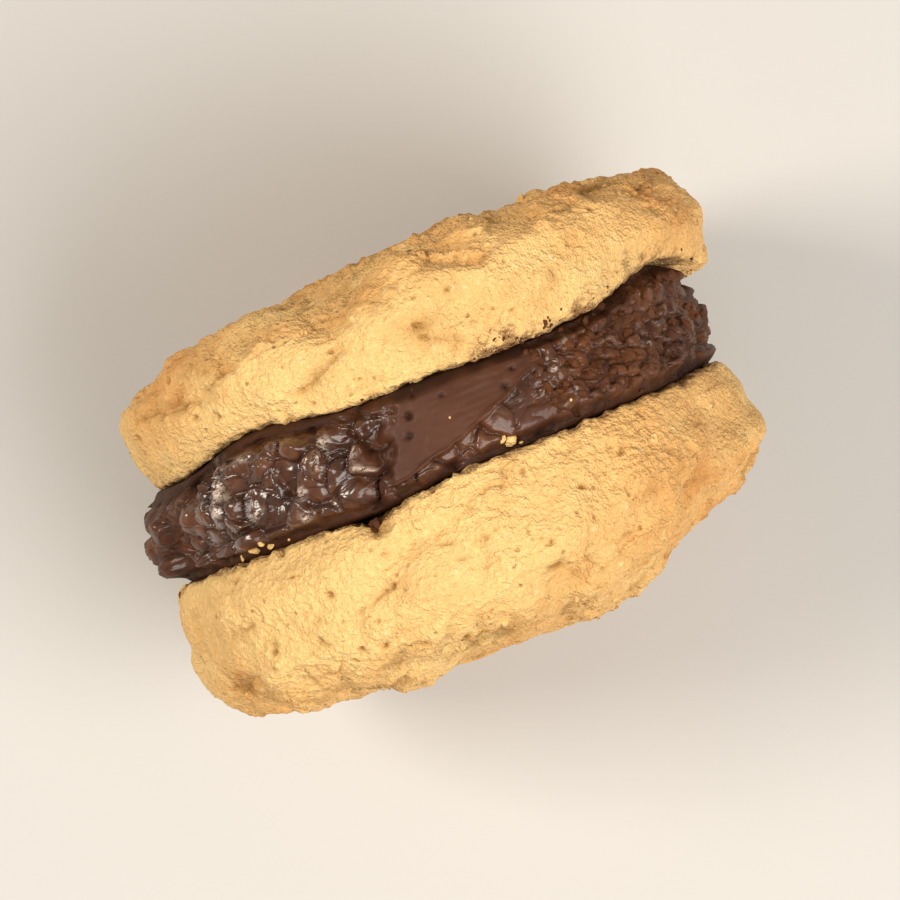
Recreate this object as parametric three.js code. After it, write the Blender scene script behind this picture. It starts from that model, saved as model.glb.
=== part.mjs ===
// A cashew sandwich cookie, standing on its rim: two round, craggy nut biscuits with a thick
// layer of dark chocolate between them. Millimetres, +Z up. X runs across the round biscuits,
// Y through the sandwich, and the table is at z = 0.
//
// Each piece starts as an even ball of triangles. The ball is drawn out over a profile that
// turns round the sandwich's axis, and its skin is then pushed in and out: lumps, crumbs,
// cracks and chips on the biscuits, and torn lumps on the chocolate.

import * as THREE from "three";
import { ImprovedNoise } from "three/addons/math/ImprovedNoise.js";
import { mergeVertices } from "three/addons/utils/BufferGeometryUtils.js";

// Driving dimensions.
const BACK_RADIUS = 22.8;
const BACK_THICKNESS = 9.1;
const FRONT_RADIUS = 22.5;
const FRONT_THICKNESS = 13.2;
const FILLING_RADIUS = 21.8;
const FILLING_THICKNESS = 6.8;
const GAP = 0.3; // clearance between the chocolate and each biscuit
const STANDING_HEIGHT = 21.7; // from the table to the sandwich's axis, so the rim rests on a flat spot
const FILLING_ABOVE_TABLE = 0.6; // the biscuits carry the cookie, and the chocolate stays clear

// Fineness of the triangles. The faces against the chocolate are hidden, so theirs are coarse.
const BISCUIT_DETAIL = 15; // a ball has 20 * (detail + 1)^2 triangles
const FILLING_DETAIL = 11;
const FINENESS = { hiddenFace: 0.5, dome: 1, rim: 1.4 };
const PROFILE_STEPS = 400;

const perlin = new ImprovedNoise();

// Smooth noise, about -0.7 to 0.7, with lumps of the given size.
function lumps(p, size, seed) {
  return perlin.noise(p.x / size + seed, p.y / size - seed, p.z / size + 2 * seed);
}

// 0 below low, 1 above high, and smooth between them.
function ease(value, low, high) {
  return THREE.MathUtils.smoothstep(value, low, high);
}

// A smooth hump, 1 at the middle and almost gone at twice its width.
function hump(distance, width) {
  return Math.exp(-((distance / width) ** 2));
}

// How far the chocolate swells past its even thickness, towards the back or the front biscuit.
// It is thickest where it was pressed out, near both ends of the rim's upper half.
const SWELLS = {
  back: [
    { x: -12.8, width: 3.6, by: 0.9 },
    { x: -20.5, width: 2.4, by: -0.4 },
    { x: 6, width: 5, by: -0.35 },
    { x: 18, width: 3.2, by: 1.6 },
  ],
  front: [
    { x: -6, width: 3.8, by: 0.5 },
    { x: 19, width: 4, by: -0.45 },
  ],
};
const UPPER_HALF = { from: -4, to: 8 };
const WAVE = { size: 11, by: 0.4, seed: 3.7, apart: 40 };
function fillingSwell(side, x, z) {
  const place = new THREE.Vector3(x, side === "back" ? 0 : WAVE.apart, z);
  let swell = WAVE.by * lumps(place, WAVE.size, WAVE.seed);
  for (const s of SWELLS[side])
    swell += s.by * hump(x - s.x, s.width) * ease(z, UPPER_HALF.from, UPPER_HALF.to);
  return swell;
}

// An even ball of triangles, drawn out over a profile of [radius, height] points that runs from
// the middle of the lower face, over the rim, to the middle of the upper face. Each stretch of
// the profile takes triangles by its area and its fineness.
function drawnOver(profile, detail, fineness) {
  const ball = new THREE.IcosahedronGeometry(1, detail);
  ball.deleteAttribute("normal");
  ball.deleteAttribute("uv");
  const geometry = mergeVertices(ball, 1e-5);

  const points = profile.getSpacedPoints(PROFILE_STEPS);
  const share = [0];
  for (let i = 1; i < points.length; i++) {
    const [a, b] = [points[i - 1], points[i]];
    const length = a.distanceTo(b);
    const steepness = Math.abs(b.y - a.y) / length;
    share.push(share[i - 1] + length * (a.x + b.x) * fineness(a, steepness));
  }

  const position = geometry.attributes.position;
  const order = Array.from({ length: position.count }, (_, i) => i);
  order.sort((a, b) => position.getY(a) - position.getY(b));
  let step = 1;
  for (const i of order) {
    const wanted = ((1 + position.getY(i)) / 2) * share.at(-1);
    while (step < points.length - 1 && share[step] < wanted) step++;
    const along = (wanted - share[step - 1]) / (share[step] - share[step - 1]);
    const at = points[step - 1].clone().lerp(points[step], THREE.MathUtils.clamp(along, 0, 1));
    const around = Math.atan2(position.getZ(i), position.getX(i));
    position.setXYZ(i, at.x * Math.cos(around), at.y, at.x * Math.sin(around));
  }
  geometry.computeVertexNormals();
  return geometry;
}

// Moves every vertex to where the given function says, from its place and its outward normal.
function reshape(geometry, moved) {
  const { position, normal } = geometry.attributes;
  const place = new THREE.Vector3();
  const outward = new THREE.Vector3();
  for (let i = 0; i < position.count; i++) {
    place.fromBufferAttribute(position, i);
    outward.fromBufferAttribute(normal, i);
    const to = moved(place, outward);
    position.setXYZ(i, to.x, to.y, to.z);
  }
  geometry.computeVertexNormals();
  return geometry;
}

function solid(name, geometry, colour, roughness) {
  const material = new THREE.MeshStandardMaterial({ color: colour, roughness, metalness: 0 });
  const mesh = new THREE.Mesh(geometry, material);
  mesh.name = name;
  return mesh;
}

// The baked dough's own relief: broad swells, lumps with creases between them, crumbs, and in
// places a crack where the noise passes through zero.
const CRUST = {
  swell: { size: 13, by: 0.8 },
  lump: { size: 6, by: 1.3, crease: 0.2 },
  crumb: { size: 3.2, by: 0.5 },
  crack: { size: 11, by: 0.7, width: 0.12, patch: 17 },
};
function crust(place, seed) {
  const { swell, lump, crumb, crack } = CRUST;
  const broad = swell.by * lumps(place, swell.size, seed);
  const rounded = lump.by * (Math.abs(lumps(place, lump.size, seed + 7)) - lump.crease);
  const fine = crumb.by * lumps(place, crumb.size, seed + 13);
  const cracked = ease(lumps(place, crack.patch, seed + 41), -0.1, 0.2);
  const open = crack.by * hump(lumps(place, crack.size, seed + 29), crack.width) * cracked;
  return broad + rounded + fine - open;
}

// A chip's depth at a place. A chip stands at an angle round the rim, in degrees from the top
// and positive to the right, at a height above the biscuit's flat face. It runs further down
// the face than it is wide.
const CHIP_RUN = 2;
function chipped(place, chips, facing, radius) {
  let depth = 0;
  for (const chip of chips) {
    const round = THREE.MathUtils.degToRad(chip.round);
    const centre = new THREE.Vector3(
      facing * radius * Math.sin(round),
      chip.height,
      radius * Math.cos(round),
    );
    const away = centre.sub(place);
    away.z /= CHIP_RUN;
    depth += chip.depth * hump(away.length(), chip.radius);
  }
  return depth;
}

// A drop biscuit: flat on the face that meets the chocolate, with a bellied rim and a dome that
// stays full out to its shoulder. It is built with its dome towards +Y, and the front one is
// turned round to face -Y.
const FOOT = { in: 1.6, up: 1.2, under: 0.7 }; // the small round edge of the flat face
const BELLY = 0.45; // where the rim is widest, as a share of the thickness
const CHEEK = 0.86; // and how high it pulls the dome's edge up
const CALM = { height: 3.5, share: 0.85 }; // the relief fades towards the flat face
const PRESSED = { from: 0.76, to: 0.92, relief: 0.3 }; // and is even where the rim stands
function biscuit({ name, side, radius, thickness, shoulder, across, taper, seed, chips, colour }) {
  const facing = side === "back" ? 1 : -1;
  const profile = new THREE.Path();
  profile.moveTo(0, 0);
  profile.lineTo(radius - FOOT.in, 0);
  profile.quadraticCurveTo(radius - FOOT.under, 0, radius - FOOT.under, FOOT.up);
  profile.quadraticCurveTo(radius, 2 * FOOT.up, radius, BELLY * thickness);
  profile.bezierCurveTo(radius, CHEEK * thickness, shoulder * radius, thickness, 0, thickness);
  const fineness = (at, steepness) =>
    at.y <= 0 ? FINENESS.hiddenFace : FINENESS.dome + (FINENESS.rim - FINENESS.dome) * steepness;

  const geometry = reshape(drawnOver(profile, BISCUIT_DETAIL, fineness), (place, outward) => {
    const x = facing * place.x + across;
    const flat = 1 - ease(place.y, 0, CALM.height);
    const pressed = ease(-place.z / radius, PRESSED.from, PRESSED.to);
    const crags = crust(place, seed) - chipped(place, chips, facing, radius);
    const relief = THREE.MathUtils.lerp(crags, PRESSED.relief, pressed);
    const to = place.clone().addScaledVector(outward, relief * (1 - CALM.share * flat));
    to.y *= 1 + taper.by * ease(x, taper.from, taper.to);
    to.y = Math.max(to.y, 0) + flat * fillingSwell(side, x, place.z);
    to.z = Math.max(to.z, -STANDING_HEIGHT);
    return to;
  });

  const mesh = solid(name, geometry, colour, 0.92);
  mesh.position.set(across, (facing * (FILLING_THICKNESS + GAP)) / 2, STANDING_HEIGHT);
  mesh.rotation.z = side === "back" ? 0 : Math.PI;
  return mesh;
}

// The chocolate: a thick disc whose two faces follow the biscuits. Its rim is torn and lumpy at
// both ends, and was wiped smooth in the middle of the upper half.
const TORN = { lump: { size: 6.5, by: 1.2, seed: 57 }, grain: { size: 3.6, by: 0.6, seed: 71 } };
const WIPED = { x: 2, width: 7, share: 0.6 };
const FILLING_ACROSS = -1.1;
const FILLING_EDGE = 1.3; // the roundness of the rim's two edges
function tornBy(place) {
  const { lump, grain } = TORN;
  return lump.by * lumps(place, lump.size, lump.seed) + grain.by * lumps(place, grain.size, grain.seed);
}
function filling() {
  const half = (FILLING_THICKNESS - GAP) / 2;
  const profile = new THREE.Path();
  profile.moveTo(0, -half);
  profile.lineTo(FILLING_RADIUS - FILLING_EDGE, -half);
  profile.quadraticCurveTo(FILLING_RADIUS, -half, FILLING_RADIUS, FILLING_EDGE - half);
  profile.lineTo(FILLING_RADIUS, half - FILLING_EDGE);
  profile.quadraticCurveTo(FILLING_RADIUS, half, FILLING_RADIUS - FILLING_EDGE, half);
  profile.lineTo(0, half);
  const fineness = (at, steepness) =>
    FINENESS.hiddenFace + (FINENESS.rim - FINENESS.hiddenFace) * steepness;

  const geometry = reshape(drawnOver(profile, FILLING_DETAIL, fineness), (place, outward) => {
    const x = place.x + FILLING_ACROSS;
    const wiped = WIPED.share * hump(x - WIPED.x, WIPED.width) * ease(place.z, 0, FILLING_RADIUS / 2);
    const onRim = 1 - outward.y * outward.y;
    const to = place.clone().addScaledVector(outward, tornBy(place) * onRim * (1 - wiped));
    const side = place.y > 0 ? "back" : "front";
    const swollen = (half + fillingSwell(side, x, place.z)) / half;
    to.y = THREE.MathUtils.clamp(to.y, -half, half) * swollen;
    to.z = Math.max(to.z, FILLING_ABOVE_TABLE - STANDING_HEIGHT);
    return to;
  });

  const mesh = solid("chocolate_filling", geometry, 0x3b2219, 0.45);
  mesh.position.set(FILLING_ACROSS, 0, STANDING_HEIGHT);
  return mesh;
}

const cookie = new THREE.Group();
cookie.add(
  biscuit({
    name: "biscuit_back",
    side: "back",
    radius: BACK_RADIUS,
    thickness: BACK_THICKNESS,
    shoulder: 0.9,
    across: 0.6,
    taper: { from: -20, to: 20, by: 0.08 },
    seed: 5.3,
    chips: [
      { round: -11, height: 9, radius: 2.2, depth: 1.7 },
      { round: -52, height: 6.5, radius: 2.2, depth: 0.8 },
      { round: 10, height: 3.4, radius: 1.7, depth: 0.7 },
    ],
    colour: 0xe3b878,
  }),
  filling(),
  biscuit({
    name: "biscuit_front",
    side: "front",
    radius: FRONT_RADIUS,
    thickness: FRONT_THICKNESS,
    shoulder: 0.76,
    across: -1,
    taper: { from: 7, to: 17, by: -0.2 },
    seed: 19.7,
    chips: [
      { round: -64, height: 9.3, radius: 2.2, depth: 1.1 },
      { round: -3, height: 12.6, radius: 2, depth: 0.9 },
      { round: 46, height: 9.5, radius: 2.4, depth: 0.7 },
    ],
    colour: 0xeac584,
  }),
);

// The frame's origin is on the table, under the middle of the cookie.
const box = new THREE.Box3().setFromObject(cookie, true);
for (const piece of cookie.children) {
  piece.position.x -= (box.min.x + box.max.x) / 2;
  piece.position.y -= (box.min.y + box.max.y) / 2;
}

export default cookie;
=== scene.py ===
import math
import random

import bmesh
import bpy
from mathutils import Matrix, Vector, noise
from mathutils.bvhtree import BVHTree


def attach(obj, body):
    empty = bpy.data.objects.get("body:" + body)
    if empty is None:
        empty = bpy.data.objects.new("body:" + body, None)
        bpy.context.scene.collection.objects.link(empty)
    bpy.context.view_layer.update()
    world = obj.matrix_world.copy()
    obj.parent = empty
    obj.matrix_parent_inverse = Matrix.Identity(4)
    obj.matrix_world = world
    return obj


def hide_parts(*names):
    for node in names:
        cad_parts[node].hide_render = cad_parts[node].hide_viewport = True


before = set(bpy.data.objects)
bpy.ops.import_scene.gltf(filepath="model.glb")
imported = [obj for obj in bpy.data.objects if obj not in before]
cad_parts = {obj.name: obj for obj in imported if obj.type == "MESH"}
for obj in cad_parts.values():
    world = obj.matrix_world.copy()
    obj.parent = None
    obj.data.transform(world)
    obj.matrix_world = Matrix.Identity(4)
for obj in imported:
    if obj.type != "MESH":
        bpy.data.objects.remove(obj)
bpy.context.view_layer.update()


# ----------------------------------------------------------------------------------------------
# The back biscuit. A round of sandy cashew dough, dropped on a tray and baked: flat underneath,
# bellied at the rim, and domed and craggy on top. It stands on its rim with its flat face
# against the chocolate, and its crumb is broken by pores, creases and fine cracks.
# ----------------------------------------------------------------------------------------------
MM = 0.001
AXIS_HEIGHT = 21.7  # of the sandwich's axis over the table, in mm


def ease(value, low, high):
    """0 below low, 1 above high, and smooth between them."""
    share = min(1.0, max(0.0, (value - low) / (high - low)))
    return share * share * (3 - 2 * share)


def hump(distance, width):
    """1 at the middle, and almost gone at twice the width."""
    return math.exp(-((distance / width) ** 2))


def wave(place, size, seed):
    """Smooth noise from about -1 to 1, with lumps of that size in mm."""
    return noise.noise(place / size + Vector((seed, -seed, 2 * seed)))


def wander(place, size, seed):
    """A sideways push that turns straight cell walls into crooked ones."""
    return Vector([wave(place, size, seed + turn) for turn in (0, 17, 31)])


CELL_SHUFFLE = 37.7  # gives neighbouring cells chance values that have nothing in common


def nearest_cells(place, size, seed):
    """The distances, in cells, to the two nearest of points strewn about that size apart, then two
    chance values of the nearest one: one from 0 to 1, and one that leans across its cell, from
    about -0.5 to 0.5."""
    here = place / size + Vector((seed, 2 * seed, -seed))
    (near, second, *_), points = noise.voronoi(here)
    shuffled = points[0] * CELL_SHUFFLE
    lean = noise.cell_vector(shuffled) - Vector((0.5, 0.5, 0.5))
    return near, second, noise.cell(shuffled), (here - points[0]).dot(lean)


def new_piece(name, shell, smooth=True):
    """A new object from a bmesh, at the origin, with its place in its mesh."""
    mesh = bpy.data.meshes.new(name)
    for face in shell.faces:
        face.smooth = smooth
    shell.to_mesh(mesh)
    shell.free()
    piece = bpy.data.objects.new(name, mesh)
    bpy.context.scene.collection.objects.link(piece)
    return piece


def fine_copy(node, name, finer, cuts):
    """A node's own form as a new piece, merged and made smooth and fine. Faces whose middle, in mm,
    passes the finer test are cut that many times more."""
    shell = bmesh.new()
    shell.from_mesh(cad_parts[node].data)
    bmesh.ops.remove_doubles(shell, verts=shell.verts, dist=MM / 1000)
    piece = new_piece(name, shell)
    fine = piece.modifiers.new("fine", "SUBSURF")
    fine.levels = fine.render_levels = 2
    bpy.context.view_layer.update()
    smoothed = piece.evaluated_get(bpy.context.evaluated_depsgraph_get())
    piece.data = bpy.data.meshes.new_from_object(smoothed)
    piece.modifiers.clear()
    shell = bmesh.new()
    shell.from_mesh(piece.data)
    faces = [face for face in shell.faces if finer(face.calc_center_median() / MM)]
    edges = list({edge for face in faces for edge in face.edges})
    bmesh.ops.subdivide_edges(shell, edges=edges, cuts=cuts, use_grid_fill=True)
    shell.to_mesh(piece.data)
    shell.free()
    return piece


def carve(piece, relief, marks):
    """Moves each vertex by the push that relief gives, in mm, and keeps the other values that it
    gives as the named attributes. Nothing goes below the table."""
    shell = bmesh.new()
    shell.from_mesh(piece.data)
    layers = [shell.verts.layers.float.new(mark) for mark in marks]
    shell.normal_update()
    moved = []
    for vertex in shell.verts:
        push, *values = relief(vertex.co / MM, vertex.normal)
        moved.append(vertex.co + push * MM)
        for layer, value in zip(layers, values):
            vertex[layer] = value
    for vertex, place in zip(shell.verts, moved):
        place.z = max(place.z, 0)
        vertex.co = place
    shell.to_mesh(piece.data)
    shell.free()
    for face in piece.data.polygons:
        face.use_smooth = True


chocolate_surface = BVHTree.FromObject(
    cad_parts["chocolate_filling"], bpy.context.evaluated_depsgraph_get()
)


def from_chocolate(place):
    """How far a place, in mm, is from the chocolate."""
    return chocolate_surface.find_nearest(place * MM)[3] / MM


def crease_depth(place, creases):
    """How deep a place lies in the creases of the rim's top, each from one x, y to another."""
    depth = 0
    here = place.xy + 0.22 * wander(place, 0.9, 5).xy
    for start, end, width, by in creases:
        start, along = Vector(start), Vector(end) - Vector(start)
        share = min(1, max(0, (here - start).dot(along) / along.length_squared))
        depth += by * math.exp(-(here - start - along * share).length / width)
    return depth * ease(place.z, AXIS_HEIGHT, AXIS_HEIGHT + 6)


def rims_top(inner, above):
    """A test for whether a place lies on the top of the rim, where it is looked at closest: outside
    that radius, and that far above the axis."""

    def on_it(place):
        radius = Vector((place.x, place.z - AXIS_HEIGHT)).length
        return place.z > AXIS_HEIGHT + above and radius > inner

    return on_it


GRAIN_SIZE, SAND_SIZE, CLOD_SIZE = 1.3, 0.6, 3.9  # of the dough's lumps, in mm
PORE_SPACING, PORE_DEPTH = 1.35, 0.34  # of its small pores, in mm
PIT_SPACING, PIT_DEPTH = 3.1, 0.45  # of its few deep pits, in mm


def dough_relief(seed, outward, creases, baked, smeared):
    """The relief of one biscuit, which faces outward, -1 or 1, along Y. Baked gives browned patches
    of the rim's top as x, y, reach and amount, and smeared where chocolate reaches over its edge,
    as x, half length and reach. The relief gives the push, how much a place is browned, how much
    painted shade it gets in its pores, cracks and creases, and how far it is stained by the chocolate."""

    def relief(place, normal):
        dome = ease(outward * normal.y, 0.25, 0.85)
        on_top = ease(place.z, AXIS_HEIGHT + 2, AXIS_HEIGHT + 9)
        crumbly = ease(wave(place, 6, seed + 2) + 0.3 * dome, -0.25, 0.45)
        crooked = place + 0.25 * wander(place, 1.1, seed)

        # Soft swells, with a sandy grain of two sizes on them.
        height = 0.09 * wave(place, 2.8, seed) + 0.05 * wave(place, 1.3, seed + 3)
        near, second, chance, lean = nearest_cells(crooked, GRAIN_SIZE, seed + 5)
        inside = ease(second - near, 0, 0.25)
        grain = 0.16 * (0.5 - near) + 0.16 * (chance - 0.5) * inside + 0.24 * lean
        near, _, _, lean = nearest_cells(crooked, SAND_SIZE, seed + 7)
        grain += 0.16 * (0.5 - near) + 0.18 * lean
        height += grain * (0.4 + 0.6 * crumbly)

        # Small pores of several widths, and a few deep pits.
        near, _, chance, _ = nearest_cells(crooked, PORE_SPACING, seed + 9)
        wide = 0.1 + 0.12 * (5 * chance % 1)
        pore = PORE_DEPTH * hump(near, wide) * ease(chance + 0.25 * crumbly, 0.52, 0.56)
        near, _, chance, _ = nearest_cells(place, PIT_SPACING, seed + 11)
        pore += PIT_DEPTH * hump(near, 0.1) * ease(chance + 0.15 * dome, 0.76, 0.8)

        # Clods, mostly on the dome, with fine cracks between them, and the creases.
        bent = place + 0.9 * wander(place, 2.6, seed + 13) + 0.2 * wander(place, 0.7, seed + 15)
        near, second, chance, lean = nearest_cells(bent, CLOD_SIZE, seed + 17)
        seam = 1 - ease(second - near, 0, 0.16)
        clod = 0.5 * (0.3 - near * near) + 0.4 * (chance - 0.5) * (1 - seam) + 0.6 * lean
        height += (dome + 0.22 * crumbly * (1 - dome)) * clod
        cracked = ease(wave(place, 5, seed + 19) + 0.25 * dome, 0.0, 0.4)
        crack = (0.1 + 0.22 * dome) * seam * cracked * (1 - 0.6 * on_top)
        crease = crease_depth(place, creases) * (0.75 + 0.7 * wave(place, 0.8, seed + 21))

        # A ragged edge against the chocolate, which is smeared over it in places.
        away = from_chocolate(place)
        edge = 1 - ease(away, 0.2, 1.3)
        height += 0.25 * (wave(place, 0.8, seed + 23) + 0.3 * wave(place, 0.45, seed + 25)) * edge
        reach = 0.5
        for x, half_length, by in smeared:
            reach += by * hump(place.x - x, half_length) * on_top
        smear = reach * (1.3 + 1.4 * wave(place, 0.9, seed + 27) + 0.8 * wave(place, 0.4, seed + 29))
        stain = 1 - ease(away, 0.5 * smear, 1.15 * smear + 0.05)

        # Painted shade in pores, cracks and creases; oven browning on the dome's high spots and baked
        # patches.
        painted_hollow_shade = min(1, 3.6 * pore + (2.2 + 1.5 * on_top) * max(0, crack) + 2.4 * max(0, crease))
        browned = 0.3 + 0.5 * wave(place, 7, seed + 31) + 1.5 * max(0, height)
        toast = 0.15 * (1 - on_top) + dome * browned * (1 - 0.5 * on_top)
        for x, y, patch, amount in baked:
            toast += amount * hump((place.xy - Vector((x, y))).length, patch) * on_top
        toast += 0.22 * wave(place, 2.2, seed + 33)
        return normal * (height - pore - crack - crease), min(1, max(0, toast)), painted_hollow_shade, stain

    return relief


def paint(*looks):
    """A red, green and blue as they look, 0 to 255, turned into the light that they reflect."""
    light = []
    for share in (look / 255 for look in looks):
        light.append(share / 12.92 if share <= 0.04045 else ((share + 0.055) / 1.055) ** 2.4)
    return light + [1]


class Value:
    """A shader socket that Python's arithmetic works on: each operation adds its Math node."""

    def __init__(self, owner, socket):
        self.owner, self.socket = owner, socket

    def maths(self, operation, first, second):
        return self.owner.add("ShaderNodeMath", {"operation": operation}, {0: first, 1: second})

    def __add__(self, other):
        return self.maths("ADD", self, other)

    def __sub__(self, other):
        return self.maths("SUBTRACT", self, other)

    def __rsub__(self, other):
        return self.maths("SUBTRACT", other, self)

    def __mul__(self, other):
        return self.maths("MULTIPLY", self, other)

    __radd__ = __add__
    __rmul__ = __mul__


class Finish:
    """A material whose nodes are added one expression at a time."""

    def __init__(self, name):
        self.material = bpy.data.materials.new(name)
        self.material.use_nodes = True
        self.tree = self.material.node_tree
        self.tree.nodes.clear()
        self.place = self.add("ShaderNodeTexCoord", output="Object")

    def add(self, kind, settings=None, inputs=None, output=0):
        """Adds a node: its settings first, then the values or links of its inputs."""
        node = self.tree.nodes.new(kind)
        for name, value in (settings or {}).items():
            setattr(node, name, value)
        for name, value in (inputs or {}).items():
            if isinstance(value, Value):
                self.tree.links.new(value.socket, node.inputs[name])
            else:
                node.inputs[name].default_value = value
        return Value(self, node.outputs[output])

    def mark(self, name):
        """One of the piece's own attributes."""
        return self.add("ShaderNodeAttribute", {"attribute_name": name}, output="Fac")

    def noise(self, size, detail=2.0, roughness=0.5, shift=0.0):
        """Noise from 0 to 1 with lumps of that size in mm."""
        moved = {"Vector": self.place, "Location": (shift, shift, shift)}
        return self.add("ShaderNodeTexNoise", None, {
            "Vector": self.add("ShaderNodeMapping", None, moved),
            "Scale": 1 / (size * MM),
            "Detail": detail,
            "Roughness": roughness,
        })

    def rise(self, value, low, high):
        """0 below low, 1 above high, and smooth between them."""
        inputs = {"Value": value, "From Min": low, "From Max": high}
        return self.add("ShaderNodeMapRange", {"interpolation_type": "SMOOTHSTEP"}, inputs)

    def pushed(self, size, reach):
        """Every place pushed about by up to half that reach in mm, so that the cells there lose
        their straight walls."""
        inputs = {"Vector": self.place, "Scale": 1 / (size * MM), "Detail": 1.0}
        push = self.add("ShaderNodeTexNoise", None, inputs, "Color")
        push = self.add("ShaderNodeVectorMath", {"operation": "SUBTRACT"}, {0: push, 1: (0.5, 0.5, 0.5)})
        push = self.add("ShaderNodeVectorMath", {"operation": "SCALE"}, {0: push, "Scale": reach * MM})
        return self.add("ShaderNodeVectorMath", {"operation": "ADD"}, {0: self.place, 1: push})

    def cells(self, size, output="Distance", places=None):
        """How far a place is from the nearest of points strewn about that size apart, in mm, as a
        share of it, or the chance colour of that point."""
        inputs = {"Vector": places or self.place, "Scale": 1 / (size * MM)}
        return self.add("ShaderNodeTexVoronoi", None, inputs, output)

    def specks(self, size, reach, share):
        """Small round specks in that share of the cells of that size in mm. Each fades over reach,
        in cells."""
        chance = self.add("ShaderNodeSeparateColor", None, {"Color": self.cells(size, "Color")}, "Red")
        near = self.rise(self.cells(size), 0, reach)
        return (1 - near) * self.rise(chance, 1 - share, 1.02 - share)

    def mix(self, first, second, share):
        """The first colour turning into the second."""
        inputs = {0: share, 6: first, 7: second}
        return self.add("ShaderNodeMix", {"data_type": "RGBA"}, inputs, 2)

    def bump(self, height, depth):
        """A bump as deep as depth, in mm, where height runs from 0 to 1."""
        return self.add("ShaderNodeBump", None, {"Height": height, "Distance": depth * MM}, "Normal")

    def finish(self, inputs):
        """Ends the material in one surface shader with these inputs."""
        surface = self.add("ShaderNodeBsdfPrincipled", None, inputs)
        output = self.tree.nodes.new("ShaderNodeOutputMaterial")
        self.tree.links.new(surface.socket, output.inputs["Surface"])


PALE_DOUGH = paint(247, 206, 137)
GOLDEN_DOUGH = paint(240, 189, 120)
TOASTED_DOUGH = paint(214, 150, 84)
# the colour of the painted shade in the dough's pores, pinholes, cracks, creases and grain gaps
PAINTED_SHADE_DOUGH = paint(158, 112, 50)
CREAM_SPECK = paint(255, 232, 176)
CHOCOLATE_STAIN = paint(112, 70, 40)


def dough_finish(name):
    """Dry baked dough: pale to golden in broad patches, toasted where it was baked most, with painted
    shade between its grains, in its pinholes and in its pores, cracks and creases, with pale and
    brown specks, a sandy grain, and chocolate smeared over its edge."""
    dough = Finish(name)
    broad = dough.noise(8, detail=3)
    patch = dough.noise(2.2, detail=4, roughness=0.6, shift=0.3)
    crooked = dough.pushed(0.4, reach=0.5)
    grain = dough.rise(dough.cells(0.5, places=crooked), 0, 0.85)
    sand = dough.cells(0.2)
    pinhole = dough.specks(0.95, reach=0.26, share=0.24)
    fine = dough.noise(0.14, detail=2, roughness=0.6)
    bake = dough.mark("toast") + 0.5 * (broad - 0.5) + 0.45 * (patch - 0.5)
    colour = dough.mix(PALE_DOUGH, GOLDEN_DOUGH, dough.rise(bake, -0.05, 0.45))
    colour = dough.mix(colour, TOASTED_DOUGH, 0.9 * dough.rise(bake, 0.35, 0.95))
    colour = dough.mix(colour, CREAM_SPECK, 0.6 * dough.specks(0.9, reach=0.36, share=0.16))
    colour = dough.mix(colour, TOASTED_DOUGH, 0.7 * dough.specks(0.6, reach=0.36, share=0.14))
    # Painted shade: between the grains, in the pinholes, and in the pores, cracks and creases.
    colour = dough.mix(colour, PAINTED_SHADE_DOUGH, 0.14 * dough.rise(grain + 0.4 * sand, 0.4, 1.1))
    colour = dough.mix(colour, PAINTED_SHADE_DOUGH, 0.7 * pinhole)
    colour = dough.mix(colour, PAINTED_SHADE_DOUGH, 0.85 * dough.mark("painted_hollow_shade"))
    blotchy = dough.rise(patch + fine, 0.7, 1.1)
    colour = dough.mix(colour, CHOCOLATE_STAIN, 0.85 * dough.mark("stain") * blotchy)
    dough.finish({
        "Base Color": colour,
        "Roughness": 0.8 + 0.1 * fine,
        "Specular IOR Level": 0.25,
        "Subsurface Weight": 0.06,
        "Subsurface Radius": (1.0, 0.5, 0.25),
        "Subsurface Scale": 0.5 * MM,
        "Normal": dough.bump(0.3 * fine - 0.5 * grain - 0.45 * sand - 0.6 * pinhole, depth=0.22),
    })
    return dough.material


BACK_CREASES = [  # start, end, width and depth, in mm
    ((-8.0, 7.6), (-6.2, 8.3), 0.4, 0.35),
    ((-6.2, 8.3), (-4.5, 9.2), 0.3, 0.3),
    ((1.0, 8.9), (1.8, 8.7), 0.45, 0.55),
    ((1.2, 7.9), (1.8, 7.7), 0.3, 0.4),
    ((2.4, 7.4), (2.6, 7.2), 0.28, 0.35),
    ((3.2, 7.0), (3.5, 6.8), 0.28, 0.35),
    ((-20.0, 10.4), (-18.5, 10.6), 0.3, 0.35),
    ((-18.2, 10.2), (-15.2, 10.0), 0.22, 0.35),
    ((-14.4, 10.4), (-12.6, 11.5), 0.22, 0.25),
    ((-19.8, 12.2), (-17.6, 11.9), 0.22, 0.25),
    ((-15.1, 12.0), (-13.9, 11.9), 0.25, 0.3),
    ((-1.3, 11.2), (-1.1, 11.6), 0.7, 0.16),
    ((11.3, 8.2), (11.4, 9.1), 0.22, 0.28),
    ((13.1, 12.8), (14.7, 13.0), 0.22, 0.28),
    ((16.0, 13.9), (18.0, 13.7), 0.25, 0.3),
]
BACK_BAKED = [  # x, y and reach, in mm, and amount
    (-20.5, 10.5, 3.6, 0.35),
    (-16.0, 12.5, 3.5, 0.25),
    (14.0, 13.5, 3.5, 0.4),
    (19.5, 12.0, 3.6, 0.45),
    (22.0, 8.5, 3.0, 0.6),
    (6.0, 14.0, 3.0, 0.2),
    (6.0, 9.0, 8.0, 0.2),
]
BACK_SMEARED = [  # x, half length and reach, in mm
    (7.0, 2.6, 1.5),
    (12.5, 1.2, 0.9),
    (17.0, 4.0, 1.6),
]
BACK_SEED = 4.1
DOUGH_MARKS = ("toast", "painted_hollow_shade", "stain")

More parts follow.
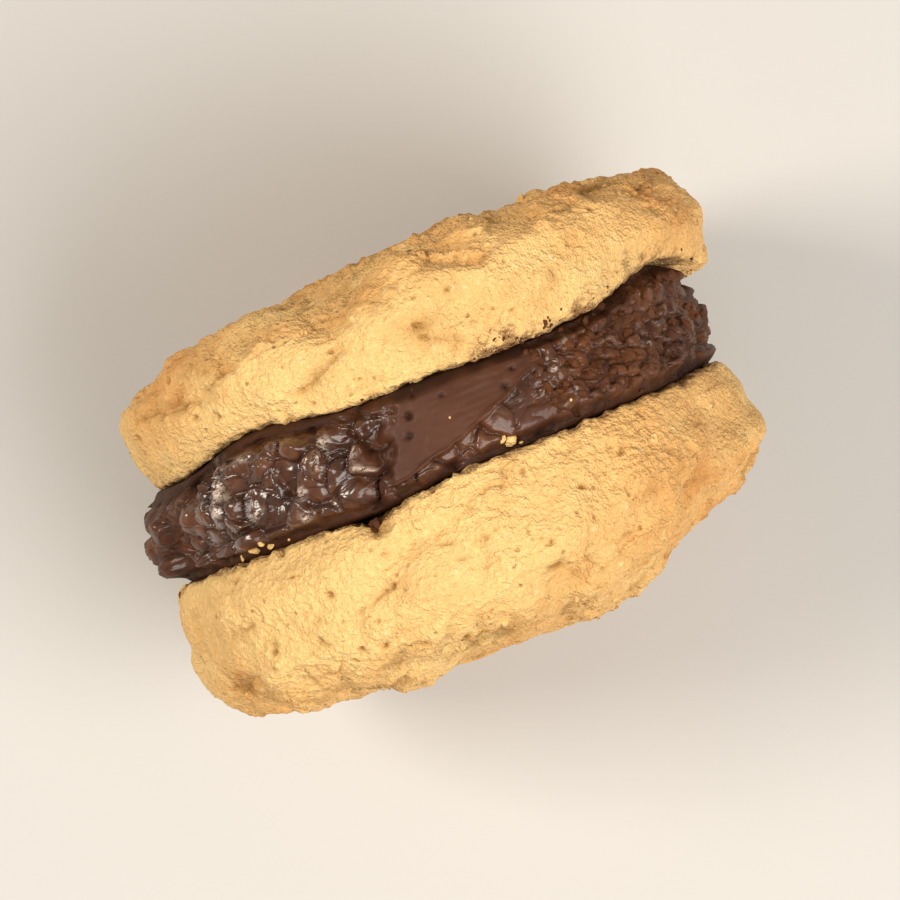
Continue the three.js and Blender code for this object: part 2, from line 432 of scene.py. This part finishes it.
on_dough_top = rims_top(20.3, above=10)
back_relief = dough_relief(BACK_SEED, 1, BACK_CREASES, BACK_BAKED, BACK_SMEARED)
back_biscuit = fine_copy("biscuit_back", "back_biscuit", on_dough_top, cuts=1)
carve(back_biscuit, back_relief, DOUGH_MARKS)
dough = dough_finish("baked dough")
back_biscuit.data.materials.append(dough)
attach(back_biscuit, "root")
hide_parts("biscuit_back")


# ----------------------------------------------------------------------------------------------
# The chocolate. Dark chocolate spread thick on the back biscuit and set there. Its rim is torn
# into glossy clumps on the left and a duller crumb on the right. Between them is a smooth wiped
# patch with a few holes, which ends in a thin lip.
# ----------------------------------------------------------------------------------------------
INTO_BISCUIT = 0.45  # how far the chocolate's flat sides sink into each biscuit, in mm
SINK_ENDS = (21.4, 22.2)  # the radii over which that sinking dies out, in mm
HIGHEST_RISE = 0.45  # of the relief on the rim, in mm
WIPED_FROM, WIPED_TO = -4.6, 7.9  # the wiped patch, along the rim's top, in mm
CLUMP_SIZE, CRUMB_SIZE, GRIT_SIZE = 2.1, 1.0, 0.5  # of the torn chocolate's lumps, in mm
RIDGES = [  # start, end, width and height, in mm
    ((-15.9, 5.2), (-17.0, 2.1), 0.5, 0.55),
    ((-14.3, 5.0), (-13.0, 4.6), 0.4, 0.3),
    ((-8.9, 2.5), (-8.1, 4.1), 0.4, 0.45),
    ((-14.7, 1.0), (-14.6, 1.3), 0.5, 0.45),
    ((-11.2, 1.0), (-10.9, 1.1), 0.5, 0.45),
    ((-10.9, -0.5), (-10.6, -0.5), 0.45, 0.4),
    ((-6.1, 3.1), (-6.5, 1.4), 0.3, 0.3),
    ((-6.5, 1.4), (-5.3, 0.7), 0.25, 0.28),
    ((-5.3, 0.7), (-4.2, 1.0), 0.2, 0.2),
    ((-3.2, 2.6), (-3.0, 1.4), 0.3, 0.2),
    ((8.9, -0.2), (10.0, 0.2), 0.35, 0.35),
    ((8.8, 2.3), (9.0, 2.5), 0.35, 0.35),
    ((10.3, 4.1), (10.5, 4.2), 0.3, 0.3),
    ((13.1, 2.8), (13.4, 3.1), 0.3, 0.3),
    ((5.2, 2.1), (5.5, 2.3), 0.25, 0.3),
    ((15.8, 1.6), (16.0, 1.9), 0.3, 0.3),
]
HOLES = [  # x, y, radius and depth, in mm
    (-1.8, 3.3, 0.26, 0.4),
    (-1.0, 4.5, 0.24, 0.35),
    (0.9, 3.8, 0.18, 0.2),
    (-2.3, 2.0, 0.3, 0.25),
    (5.3, 2.6, 0.28, 0.35),
    (6.2, 3.6, 0.2, 0.25),
    (-5.2, 2.0, 0.35, 0.4),
    (3.4, 4.9, 0.2, 0.2),
]


def filling_relief(place, normal):
    """The push of the chocolate's relief, in mm, and how far a place is wiped, how much painted shade
    it gets in crevices, margin and holes, how glossy it is, and how much painted glint its ridge gets."""
    outward = Vector((place.x, 0, place.z - AXIS_HEIGHT))
    on_side = ease(abs(normal.y), 0.5, 0.95)
    at_edge = ease(outward.length, 17.5, 20.5)
    on_rim = 1 - ease(abs(normal.y), 0.7, 1.0)
    at_top = ease(place.z, AXIS_HEIGHT + 6, AXIS_HEIGHT + 14)
    crooked = place + 0.35 * wander(place, 1.2, 3)

    # The wiped patch, the hollow under the lip that ends it, and one smooth smear beside it.
    begin = WIPED_FROM + 0.35 * place.y + 1.1 * wave(place, 1.9, 41) + 0.5 * wave(place, 0.8, 43)
    across = ease(place.x, begin - 0.5, begin + 1.0)
    across *= 1 - ease(crooked.x, WIPED_TO - 1.2, WIPED_TO + 0.9)
    lip = place.y + 0.3 * wave(place, 2.2, 5) + 0.14 * wave(place, 0.8, 6)
    lip = lip + 0.85 - 0.019 * (place.x + 7) ** 2
    wiped = across * ease(lip, -0.1, 0.1) * at_top
    under = across * (1 - ease(lip, -0.2, 0.05)) * ease(place.x, -3.5, 0) * at_top
    along, aside = (place.x - 6.8) / 2.6, (place.y + 0.2) / 1.1
    smear = 0.7 * hump(along ** 2 + aside ** 2, 1) * at_top
    calm = min(1, max(wiped, smear, 0.5 * under))

    # Torn clumps with crumb and grit on them: glossy at the top, and finer and dull on the right.
    finer = ease(place.x, 5, 12) * at_top
    near, second, chance, lean = nearest_cells(crooked, CLUMP_SIZE, 7)
    in_clump = ease(second - near, 0, 0.22)
    clump = 0.3 - near * near + 0.9 * (chance - 0.5) * in_clump + 1.1 * lean - 0.45 * (1 - in_clump)
    near, second, chance, lean = nearest_cells(crooked, CRUMB_SIZE, 13)
    in_crumb = ease(second - near, 0, 0.22)
    crumb = 0.3 - near * near + 0.9 * (chance - 0.5) * in_crumb + 1.1 * lean - 0.3 * (1 - in_crumb)
    near, _, _, lean = nearest_cells(place, GRIT_SIZE, 15)
    glossy = (1 - 0.8 * finer) * (0.2 + 0.8 * at_top)
    # Where the painted shade between the clumps and crumbs goes.
    crevice = max((1 - in_crumb) * (1 - 0.4 * glossy), (1 - in_clump) * (1 - finer))
    torn = 0.8 * (1 - 0.7 * finer) * clump + (0.22 + 0.14 * finer - 0.08 * glossy) * crumb
    torn += (0.07 + 0.13 * finer) * (0.5 - near + lean) * (1 - glossy)
    ridge = crease_depth(place, RIDGES) * (0.8 + 0.8 * wave(place, 0.7, 23))
    torn += ridge + 0.08
    drawn_out = Vector((place.x / 6, place.y, place.z / 6))
    streaks = 0.04 * wave(drawn_out, 0.4, 29) + 0.09 * wave(place, 2.4, 33)

    # All of it together, with the lip drawn up, a low margin along the biscuits, and the holes.
    height = torn * (1 - 0.95 * calm) + wiped * (0.14 + streaks) - 0.55 * under
    height += 0.12 * hump(lip - 0.14, 0.13) * across * at_top
    margin = ease(abs(normal.y) + 0.35 * wave(place, 1.1, 37), 0.25, 0.8)
    height -= 0.2 * margin
    # Painted shade in the crevices and, as a contact shadow, in the low margin; the holes get theirs
    # below.
    painted_shade_and_tone = max(0.6 * crevice * (1 - calm), 0.75 * margin)
    for x, y, radius, depth in HOLES:
        away = (place.xy + 0.1 * wander(place, 0.35, 31).xy - Vector((x, y))).length
        height -= at_top * depth * hump(away, radius)
        painted_shade_and_tone = max(painted_shade_and_tone, at_top * hump(away, 0.8 * radius))
    gloss = (1 - calm) * glossy * (1 - margin)
    # A painted pale glint on the raised ridges.
    pale = min(1, 2.4 * max(0, ridge - 0.1)) * (1 - calm)
    lift = min(height, HIGHEST_RISE * (1 - on_side)) * on_rim - 0.6 * on_side * at_edge
    sink = INTO_BISCUIT * on_side * (1 - ease(outward.length, *SINK_ENDS))
    return outward.normalized() * lift + normal * sink, calm, painted_shade_and_tone, gloss, pale


DARK_CHOCOLATE = paint(80, 45, 26)
BROWN_CHOCOLATE = paint(117, 68, 33)
# the wiped chocolate's own colour, tinted greyer as a painted sheen
WIPED_CHOCOLATE_WITH_PAINTED_SHEEN = paint(78, 48, 36)
CHOCOLATE_DUST = paint(142, 100, 68)
# the colour of the glints painted on the ridges
PAINTED_GLINT_CHOCOLATE = paint(246, 226, 204)
# the colour of the painted shade in crevices, margin and holes, also used for the flakes' darker tone
PAINTED_SHADE_CHOCOLATE = paint(30, 16, 11)


def chocolate_finish(name):
    """Dark chocolate: satin where it was wiped, with a greyer tint painted there as its sheen, and
    elsewhere broken into glossy clumps, or into a duller crumb, with painted shade in its crevices
    and holes and painted glints on its ridges."""
    chocolate = Finish(name)
    broad = chocolate.noise(5, detail=3)
    coarse = chocolate.noise(0.8, detail=4, roughness=0.65)
    fine = chocolate.noise(0.2, detail=3, roughness=0.6)
    torn = 1 - 0.95 * chocolate.mark("wiped")
    gloss = chocolate.mark("gloss")
    browner = chocolate.rise(broad + 0.4 * coarse - 0.2 * gloss, 0.45, 0.95)
    colour = chocolate.mix(DARK_CHOCOLATE, BROWN_CHOCOLATE, browner)
    colour = chocolate.mix(colour, CHOCOLATE_DUST, 0.25 * torn * chocolate.rise(coarse, 0.58, 0.75))
    # A greyer tint where it was wiped: its own colour with a painted sheen.
    colour = chocolate.mix(colour, WIPED_CHOCOLATE_WITH_PAINTED_SHEEN, 0.8 * chocolate.mark("wiped"))
    broken = chocolate.rise(coarse + 0.5 * fine, 0.62, 0.8)
    # Painted glints on the ridges, broken into small bits.
    colour = chocolate.mix(colour, PAINTED_GLINT_CHOCOLATE, 0.9 * chocolate.mark("pale") * broken)
    # Painted shade, and the flakes' darker tone.
    colour = chocolate.mix(colour, PAINTED_SHADE_CHOCOLATE, 0.9 * chocolate.mark("painted_shade_and_tone"))
    chocolate.finish({
        "Base Color": colour,
        "Roughness": 0.5 + 0.14 * torn - 0.2 * gloss,
        "Specular IOR Level": 0.2,
        "Coat Weight": 1.2 * gloss * chocolate.rise(broad, 0.3, 0.45),
        "Coat Roughness": 0.17,
        "Normal": chocolate.bump((coarse + 0.4 * fine) * torn * (1 - 0.7 * gloss), depth=0.1),
    })
    return chocolate.material


filling = fine_copy("chocolate_filling", "dark_chocolate", rims_top(19.5, above=8), cuts=2)
carve(filling, filling_relief, ("wiped", "painted_shade_and_tone", "gloss", "pale"))
chocolate = chocolate_finish("dark chocolate")
filling.data.materials.append(chocolate)
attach(filling, "root")
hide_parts("chocolate_filling")


# ----------------------------------------------------------------------------------------------
# The front biscuit. The same dough, dropped in a thicker and paler round, with a higher dome
# that slopes off to the right. It was pressed on the chocolate before that had set.
# ----------------------------------------------------------------------------------------------
FRONT_CREASES = [  # start, end, width and depth, in mm
    ((-19.4, -6.2), (-17.9, -6.3), 0.26, 0.3),
    ((-16.9, -8.0), (-16.7, -8.1), 0.26, 0.3),
    ((-14.7, -9.6), (-12.8, -9.3), 0.2, 0.2),
    ((-13.2, -7.7), (-13.0, -7.6), 0.24, 0.28),
    ((-10.4, -8.1), (-8.1, -7.5), 0.2, 0.22),
    ((-8.1, -7.5), (-6.1, -6.9), 0.18, 0.18),
    ((-10.2, -12.6), (-8.5, -12.6), 0.24, 0.3),
    ((-9.2, -12.3), (-7.3, -11.6), 0.28, 0.34),
    ((-3.3, -5.7), (-2.2, -6.1), 0.22, 0.22),
    ((-0.4, -6.4), (-0.1, -6.6), 0.26, 0.3),
    ((-2.5, -7.2), (-1.8, -7.4), 0.22, 0.22),
    ((-1.0, -8.8), (-0.2, -7.3), 0.22, 0.26),
    ((3.4, -10.5), (4.3, -10.2), 0.3, 0.32),
    ((4.6, -4.1), (4.9, -3.6), 0.22, 0.22),
    ((10.3, -7.0), (10.5, -7.1), 0.24, 0.25),
    ((-3.7, -14.0), (-3.5, -13.8), 0.45, 0.35),
    ((-1.2, -13.6), (-0.9, -13.7), 0.4, 0.35),
    ((3.2, -13.6), (3.5, -13.8), 0.35, 0.3),
    ((-20.8, -10.3), (-20.3, -10.6), 0.5, 0.9),
    ((-7.3, -2.2), (-6.9, -3.1), 0.35, 0.9),
    ((-6.9, -2.2), (-5.9, -2.3), 0.35, 0.5),
]
FRONT_BAKED = [  # x, y and reach, in mm, and amount
    (-21.0, -11.5, 3.2, 0.6),
    (-22.0, -6.0, 2.6, 0.3),
    (-14.0, -14.5, 3.0, 0.2),
    (9.0, -6.0, 6.0, 0.2),
    (17.0, -5.0, 6.5, 0.42),
    (14.0, -11.0, 4.5, 0.3),
    (3.0, -15.0, 4.0, 0.15),
]
FRONT_SMEARED = [  # x, half length and reach, in mm
    (-7.0, 0.6, 0.7),
    (19.0, 2.5, 0.3),
]
FRONT_SEED = 9.3

front_relief = dough_relief(FRONT_SEED, -1, FRONT_CREASES, FRONT_BAKED, FRONT_SMEARED)
front_biscuit = fine_copy("biscuit_front", "front_biscuit", on_dough_top, cuts=1)
carve(front_biscuit, front_relief, DOUGH_MARKS)
front_biscuit.data.materials.append(dough)
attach(front_biscuit, "root")
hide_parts("biscuit_front")


# ----------------------------------------------------------------------------------------------
# The crumbs. Bits of dough that rubbed off the biscuits and stuck, half sunk, to the rims and
# to the chocolate, and bits of chocolate torn off its rim and pressed on the biscuits' edges.
# ----------------------------------------------------------------------------------------------
ABOVE_IT_ALL = 60  # where the rays that look for the rims start, in mm


def surface_of(piece):
    """The surface of a piece, to be hit by rays."""
    shell = bmesh.new()
    shell.from_mesh(piece.data)
    surface = BVHTree.FromBMesh(shell)
    shell.free()
    return surface


def below(surface, x, y):
    """The place and normal of a surface under x, y, in mm, or nothing where there is none."""
    place, normal, _, _ = surface.ray_cast(Vector((x, y, ABOVE_IT_ALL)) * MM, Vector((0, 0, -1)))
    return (place / MM, normal) if place else None


def strewn(piece, count, chance):
    """Places and normals strewn evenly over a piece, in mm."""
    faces = piece.data.polygons
    chosen = chance.choices(faces, weights=[face.area for face in faces], k=count)
    return [(face.center / MM, face.normal) for face in chosen]


def any_turn(chance):
    """A turn by any angle about an axis that leans away from upright."""
    angle = chance.uniform(0, math.tau)
    return Matrix.Rotation(angle, 3, Vector((chance.random(), chance.random(), 1)))


def add_bit(shell, chance, spot, size, sunk=0.2):
    """Adds an angular bit of about that size, in mm, to the shell, at a place and normal. Its
    middle is sunk in the surface by that share of its size."""
    place, normal = spot
    detail = 2 if size > 0.55 else 1
    bit = bmesh.ops.create_icosphere(shell, subdivisions=detail, radius=0.5)["verts"]
    stretch = [size * chance.uniform(0.7, 1.25) for _ in range(3)]
    bmesh.ops.scale(shell, vec=stretch, verts=bit)
    bmesh.ops.rotate(shell, matrix=any_turn(chance), verts=bit)
    for vertex in bit:
        vertex.co *= 1 + 0.7 * noise.noise(vertex.co * 1.9 / size + 7 * place)
    middle = place - normal * size * sunk
    for vertex in bit:
        vertex.co = (vertex.co + middle) * MM
        vertex.co.z = max(vertex.co.z, 0)


surfaces = {piece: surface_of(piece) for piece in (back_biscuit, filling, front_biscuit)}

CREAM_CRUMBS = [  # x, y and size, in mm, on the rim of the chocolate
    (4.2, -1.0, 0.9), (3.7, -0.8, 0.5), (4.8, -1.4, 0.4), (-15.6, -1.2, 0.8), (-14.9, -1.0, 0.6),
    (-14.3, -1.4, 0.5), (-16.6, -1.5, 0.45), (-12.9, -1.5, 0.4), (9.2, 0.0, 0.35),
]
EDGE_CRUMBS = [  # x, y and size, in mm, on the rim of the back biscuit
    (22.0, 5.9, 1.1), (21.3, 5.4, 0.7), (22.5, 6.9, 0.8), (-21.5, 12.0, 0.7), (12.0, 15.0, 0.7),
]
ON_BISCUIT, ON_CHOCOLATE = 170, 12  # how many are strewn on each biscuit, and on the chocolate
CRUMB_SIZES = (0.25, 0.3, 0.35, 0.45, 0.6)  # in mm

chance = random.Random(5)
crumbs = bmesh.new()
for x, y, size in CREAM_CRUMBS:
    add_bit(crumbs, chance, below(surfaces[filling], x, y), size, sunk=0.1)
for x, y, size in EDGE_CRUMBS:
    spot = below(surfaces[back_biscuit], x, y)
    if spot:
        add_bit(crumbs, chance, spot, size)
counts = {back_biscuit: ON_BISCUIT, front_biscuit: ON_BISCUIT, filling: ON_CHOCOLATE}
for piece, count in counts.items():
    for spot in strewn(piece, count, chance):
        add_bit(crumbs, chance, spot, chance.choice(CRUMB_SIZES))
cookie_crumbs = new_piece("cookie_crumbs", crumbs, smooth=False)
cookie_crumbs.data.materials.append(dough)
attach(cookie_crumbs, "root")


def back_edge(x):
    """Where the back biscuit begins over the chocolate, along Y, in mm."""
    return next(y / 10 for y in range(20, 90) if below(surfaces[back_biscuit], x, y / 10))


NOTCH_FLAKES = [  # x, y and size, in mm, in the notch of the front biscuit's edge
    (-7.2, -2.3, 1.3), (-6.8, -2.8, 1.0), (-7.0, -3.2, 0.6), (-6.1, -2.2, 0.8),
]
EDGE_FLAKES = 130  # along the back biscuit's smeared edge
FURTHEST_FLAKE = 21.4  # along X, in mm
BISCUIT_FLAKES = 260  # tried on each biscuit, and kept near the chocolate
RIM_FLAKES = 90  # tried on the right of the chocolate's own rim
FLAKE_SHADE = 0.3  # a darker tone for the flakes, from the colour of the painted shade, so they are darker than the rim

flakes = bmesh.new()
for _ in range(EDGE_FLAKES):
    x = min(FURTHEST_FLAKE, chance.choice((chance.gauss(7, 2.2), chance.gauss(16.5, 3))))
    spot = below(surfaces[back_biscuit], x, back_edge(x) + 0.05 + chance.expovariate(3.5))
    if spot:
        add_bit(flakes, chance, spot, chance.uniform(0.2, 0.5), sunk=0.3)
for x, y, size in NOTCH_FLAKES:
    add_bit(flakes, chance, below(surfaces[front_biscuit], x, y), size, sunk=0.1)
for piece in (back_biscuit, front_biscuit):
    for spot in strewn(piece, BISCUIT_FLAKES, chance):
        if from_chocolate(spot[0]) < 0.9:
            add_bit(flakes, chance, spot, chance.uniform(0.3, 0.6))
for _ in range(RIM_FLAKES):
    spot = below(surfaces[filling], chance.uniform(7.5, 21), chance.uniform(-1.5, 6))
    if spot and abs(spot[1].y) < 0.7:
        add_bit(flakes, chance, spot, chance.uniform(0.3, 0.9), sunk=0.15)
chocolate_crumbs = new_piece("chocolate_crumbs", flakes, smooth=False)
# The flakes get a darker tone through the same attribute that carries the painted shade.
shade = chocolate_crumbs.data.attributes.new("painted_shade_and_tone", "FLOAT", "POINT")
shade.data.foreach_set("value", [FLAKE_SHADE] * len(shade.data))
chocolate_crumbs.data.materials.append(chocolate)
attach(chocolate_crumbs, "root")


# ----------------------------------------------------------------------------------------------
# The cashew pieces. Broken roasted cashews, mixed into the dough, that stand half out of the
# domes of both biscuits and browned there in the oven.
# ----------------------------------------------------------------------------------------------
CASHEW_CREAM = paint(246, 214, 152)
CASHEW_ROAST = paint(205, 136, 68)
CASHEWS_A_DOME = 10
CASHEW_SIZES = (2.0, 4.0)  # the least and the most, in mm
CASHEW_SUNK = 0.38  # the share of its size by which a cashew's middle is sunk
DOME_REACH = 16  # how far from the axis they stand, in mm
BEYOND_DOMES = 40  # along Y, where the rays that find the domes start, in mm


def cashew_finish(name):
    """Roasted cashew: cream inside, and tan to orange-brown where it stood out in the oven."""
    nut = Finish(name)
    patch = nut.noise(1.6, detail=3, roughness=0.6)
    fine = nut.noise(0.25, detail=3, roughness=0.6)
    colour = nut.mix(CASHEW_CREAM, CASHEW_ROAST, nut.rise(patch + 0.2 * fine, 0.45, 0.85))
    nut.finish({
        "Base Color": colour,
        "Roughness": 0.55 + 0.2 * fine,
        "Specular IOR Level": 0.35,
        "Subsurface Weight": 0.1,
        "Subsurface Radius": (1.0, 0.6, 0.3),
        "Subsurface Scale": 0.8 * MM,
        "Normal": nut.bump(patch + 0.4 * fine, depth=0.12),
    })
    return nut.material


nuts = bmesh.new()
for piece, outward in ((back_biscuit, 1), (front_biscuit, -1)):
    for _ in range(CASHEWS_A_DOME):
        turn, reach = chance.uniform(0, math.tau), DOME_REACH * math.sqrt(chance.random())
        up = AXIS_HEIGHT + reach * math.sin(turn)
        start = Vector((reach * math.cos(turn), BEYOND_DOMES * outward, up))
        place, normal, _, _ = surfaces[piece].ray_cast(start * MM, Vector((0, -outward, 0)))
        size = chance.uniform(*CASHEW_SIZES)
        nut = bmesh.ops.create_icosphere(nuts, subdivisions=3, radius=0.5)["verts"]
        bmesh.ops.scale(nuts, vec=[size * chance.uniform(0.6, 1.3) for _ in range(3)], verts=nut)
        bmesh.ops.rotate(nuts, matrix=any_turn(chance), verts=nut)
        middle = place / MM - normal * size * CASHEW_SUNK
        for vertex in nut:
            _, _, cell, lean = nearest_cells(vertex.co + 20 * middle, 1.3, 3)
            vertex.co *= 1 + 0.25 * (cell - 0.5) + 0.3 * lean + 0.1 * noise.noise(vertex.co * 2)
            vertex.co = (vertex.co + middle) * MM
cashew_pieces = new_piece("cashew_pieces", nuts)
cashew_pieces.data.materials.append(cashew_finish("roasted cashew"))
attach(cashew_pieces, "root")


# ----------------------------------------------------------------------------------------------
# The table, the light and the camera. A plain pale table under two soft lights. The camera
# looks straight down on the rim, turned so that the band of chocolate rises to the right.
# ----------------------------------------------------------------------------------------------
TABLE_SIZE = 1.6  # in m, as are the next two
VIEW_WIDTH = 0.066
CAMERA_DISTANCE = 0.45
BAND_RISE = 22.5  # in degrees

table_shell = bmesh.new()
bmesh.ops.create_grid(table_shell, x_segments=1, y_segments=1, size=TABLE_SIZE / 2)
table = new_piece("table", table_shell)
table_top = Finish("pale table")
table_top.finish({"Base Color": paint(204, 202, 198), "Roughness": 0.7})
table.data.materials.append(table_top.material)


def softbox(name, place, size, power, colour):
    """A square soft light, placed and sized in m, that faces the middle of the cookie."""
    light = bpy.data.lights.new(name, "AREA")
    light.size = size
    light.energy = power
    light.color = colour
    lamp = bpy.data.objects.new(name, light)
    lamp.location = place
    aim = Vector((0, 0, AXIS_HEIGHT * MM)) - Vector(place)
    lamp.rotation_euler = aim.to_track_quat("-Z", "Y").to_euler()
    bpy.context.scene.collection.objects.link(lamp)


softbox("window", (-0.29, 0.17, 0.44), size=0.18, power=1.9, colour=(1.0, 0.92, 0.82))
softbox("overhead", (0.19, -0.27, 0.44), size=0.42, power=3.0, colour=(1.0, 0.96, 0.91))
world = bpy.data.worlds.new("room")
world.use_nodes = True
room_light = world.node_tree.nodes["Background"].inputs
room_light["Color"].default_value = (1.0, 0.96, 0.9, 1)
room_light["Strength"].default_value = 0.3
bpy.context.scene.world = world

lens = bpy.data.cameras.new("camera")
lens.lens = lens.sensor_width * CAMERA_DISTANCE / VIEW_WIDTH
camera = bpy.data.objects.new("camera", lens)
camera.location = (0, 0, AXIS_HEIGHT * MM + CAMERA_DISTANCE)
camera.rotation_euler = (0, 0, math.radians(-BAND_RISE))
bpy.context.scene.collection.objects.link(camera)
bpy.context.scene.camera = camera
bpy.context.scene.view_settings.view_transform = "Standard"
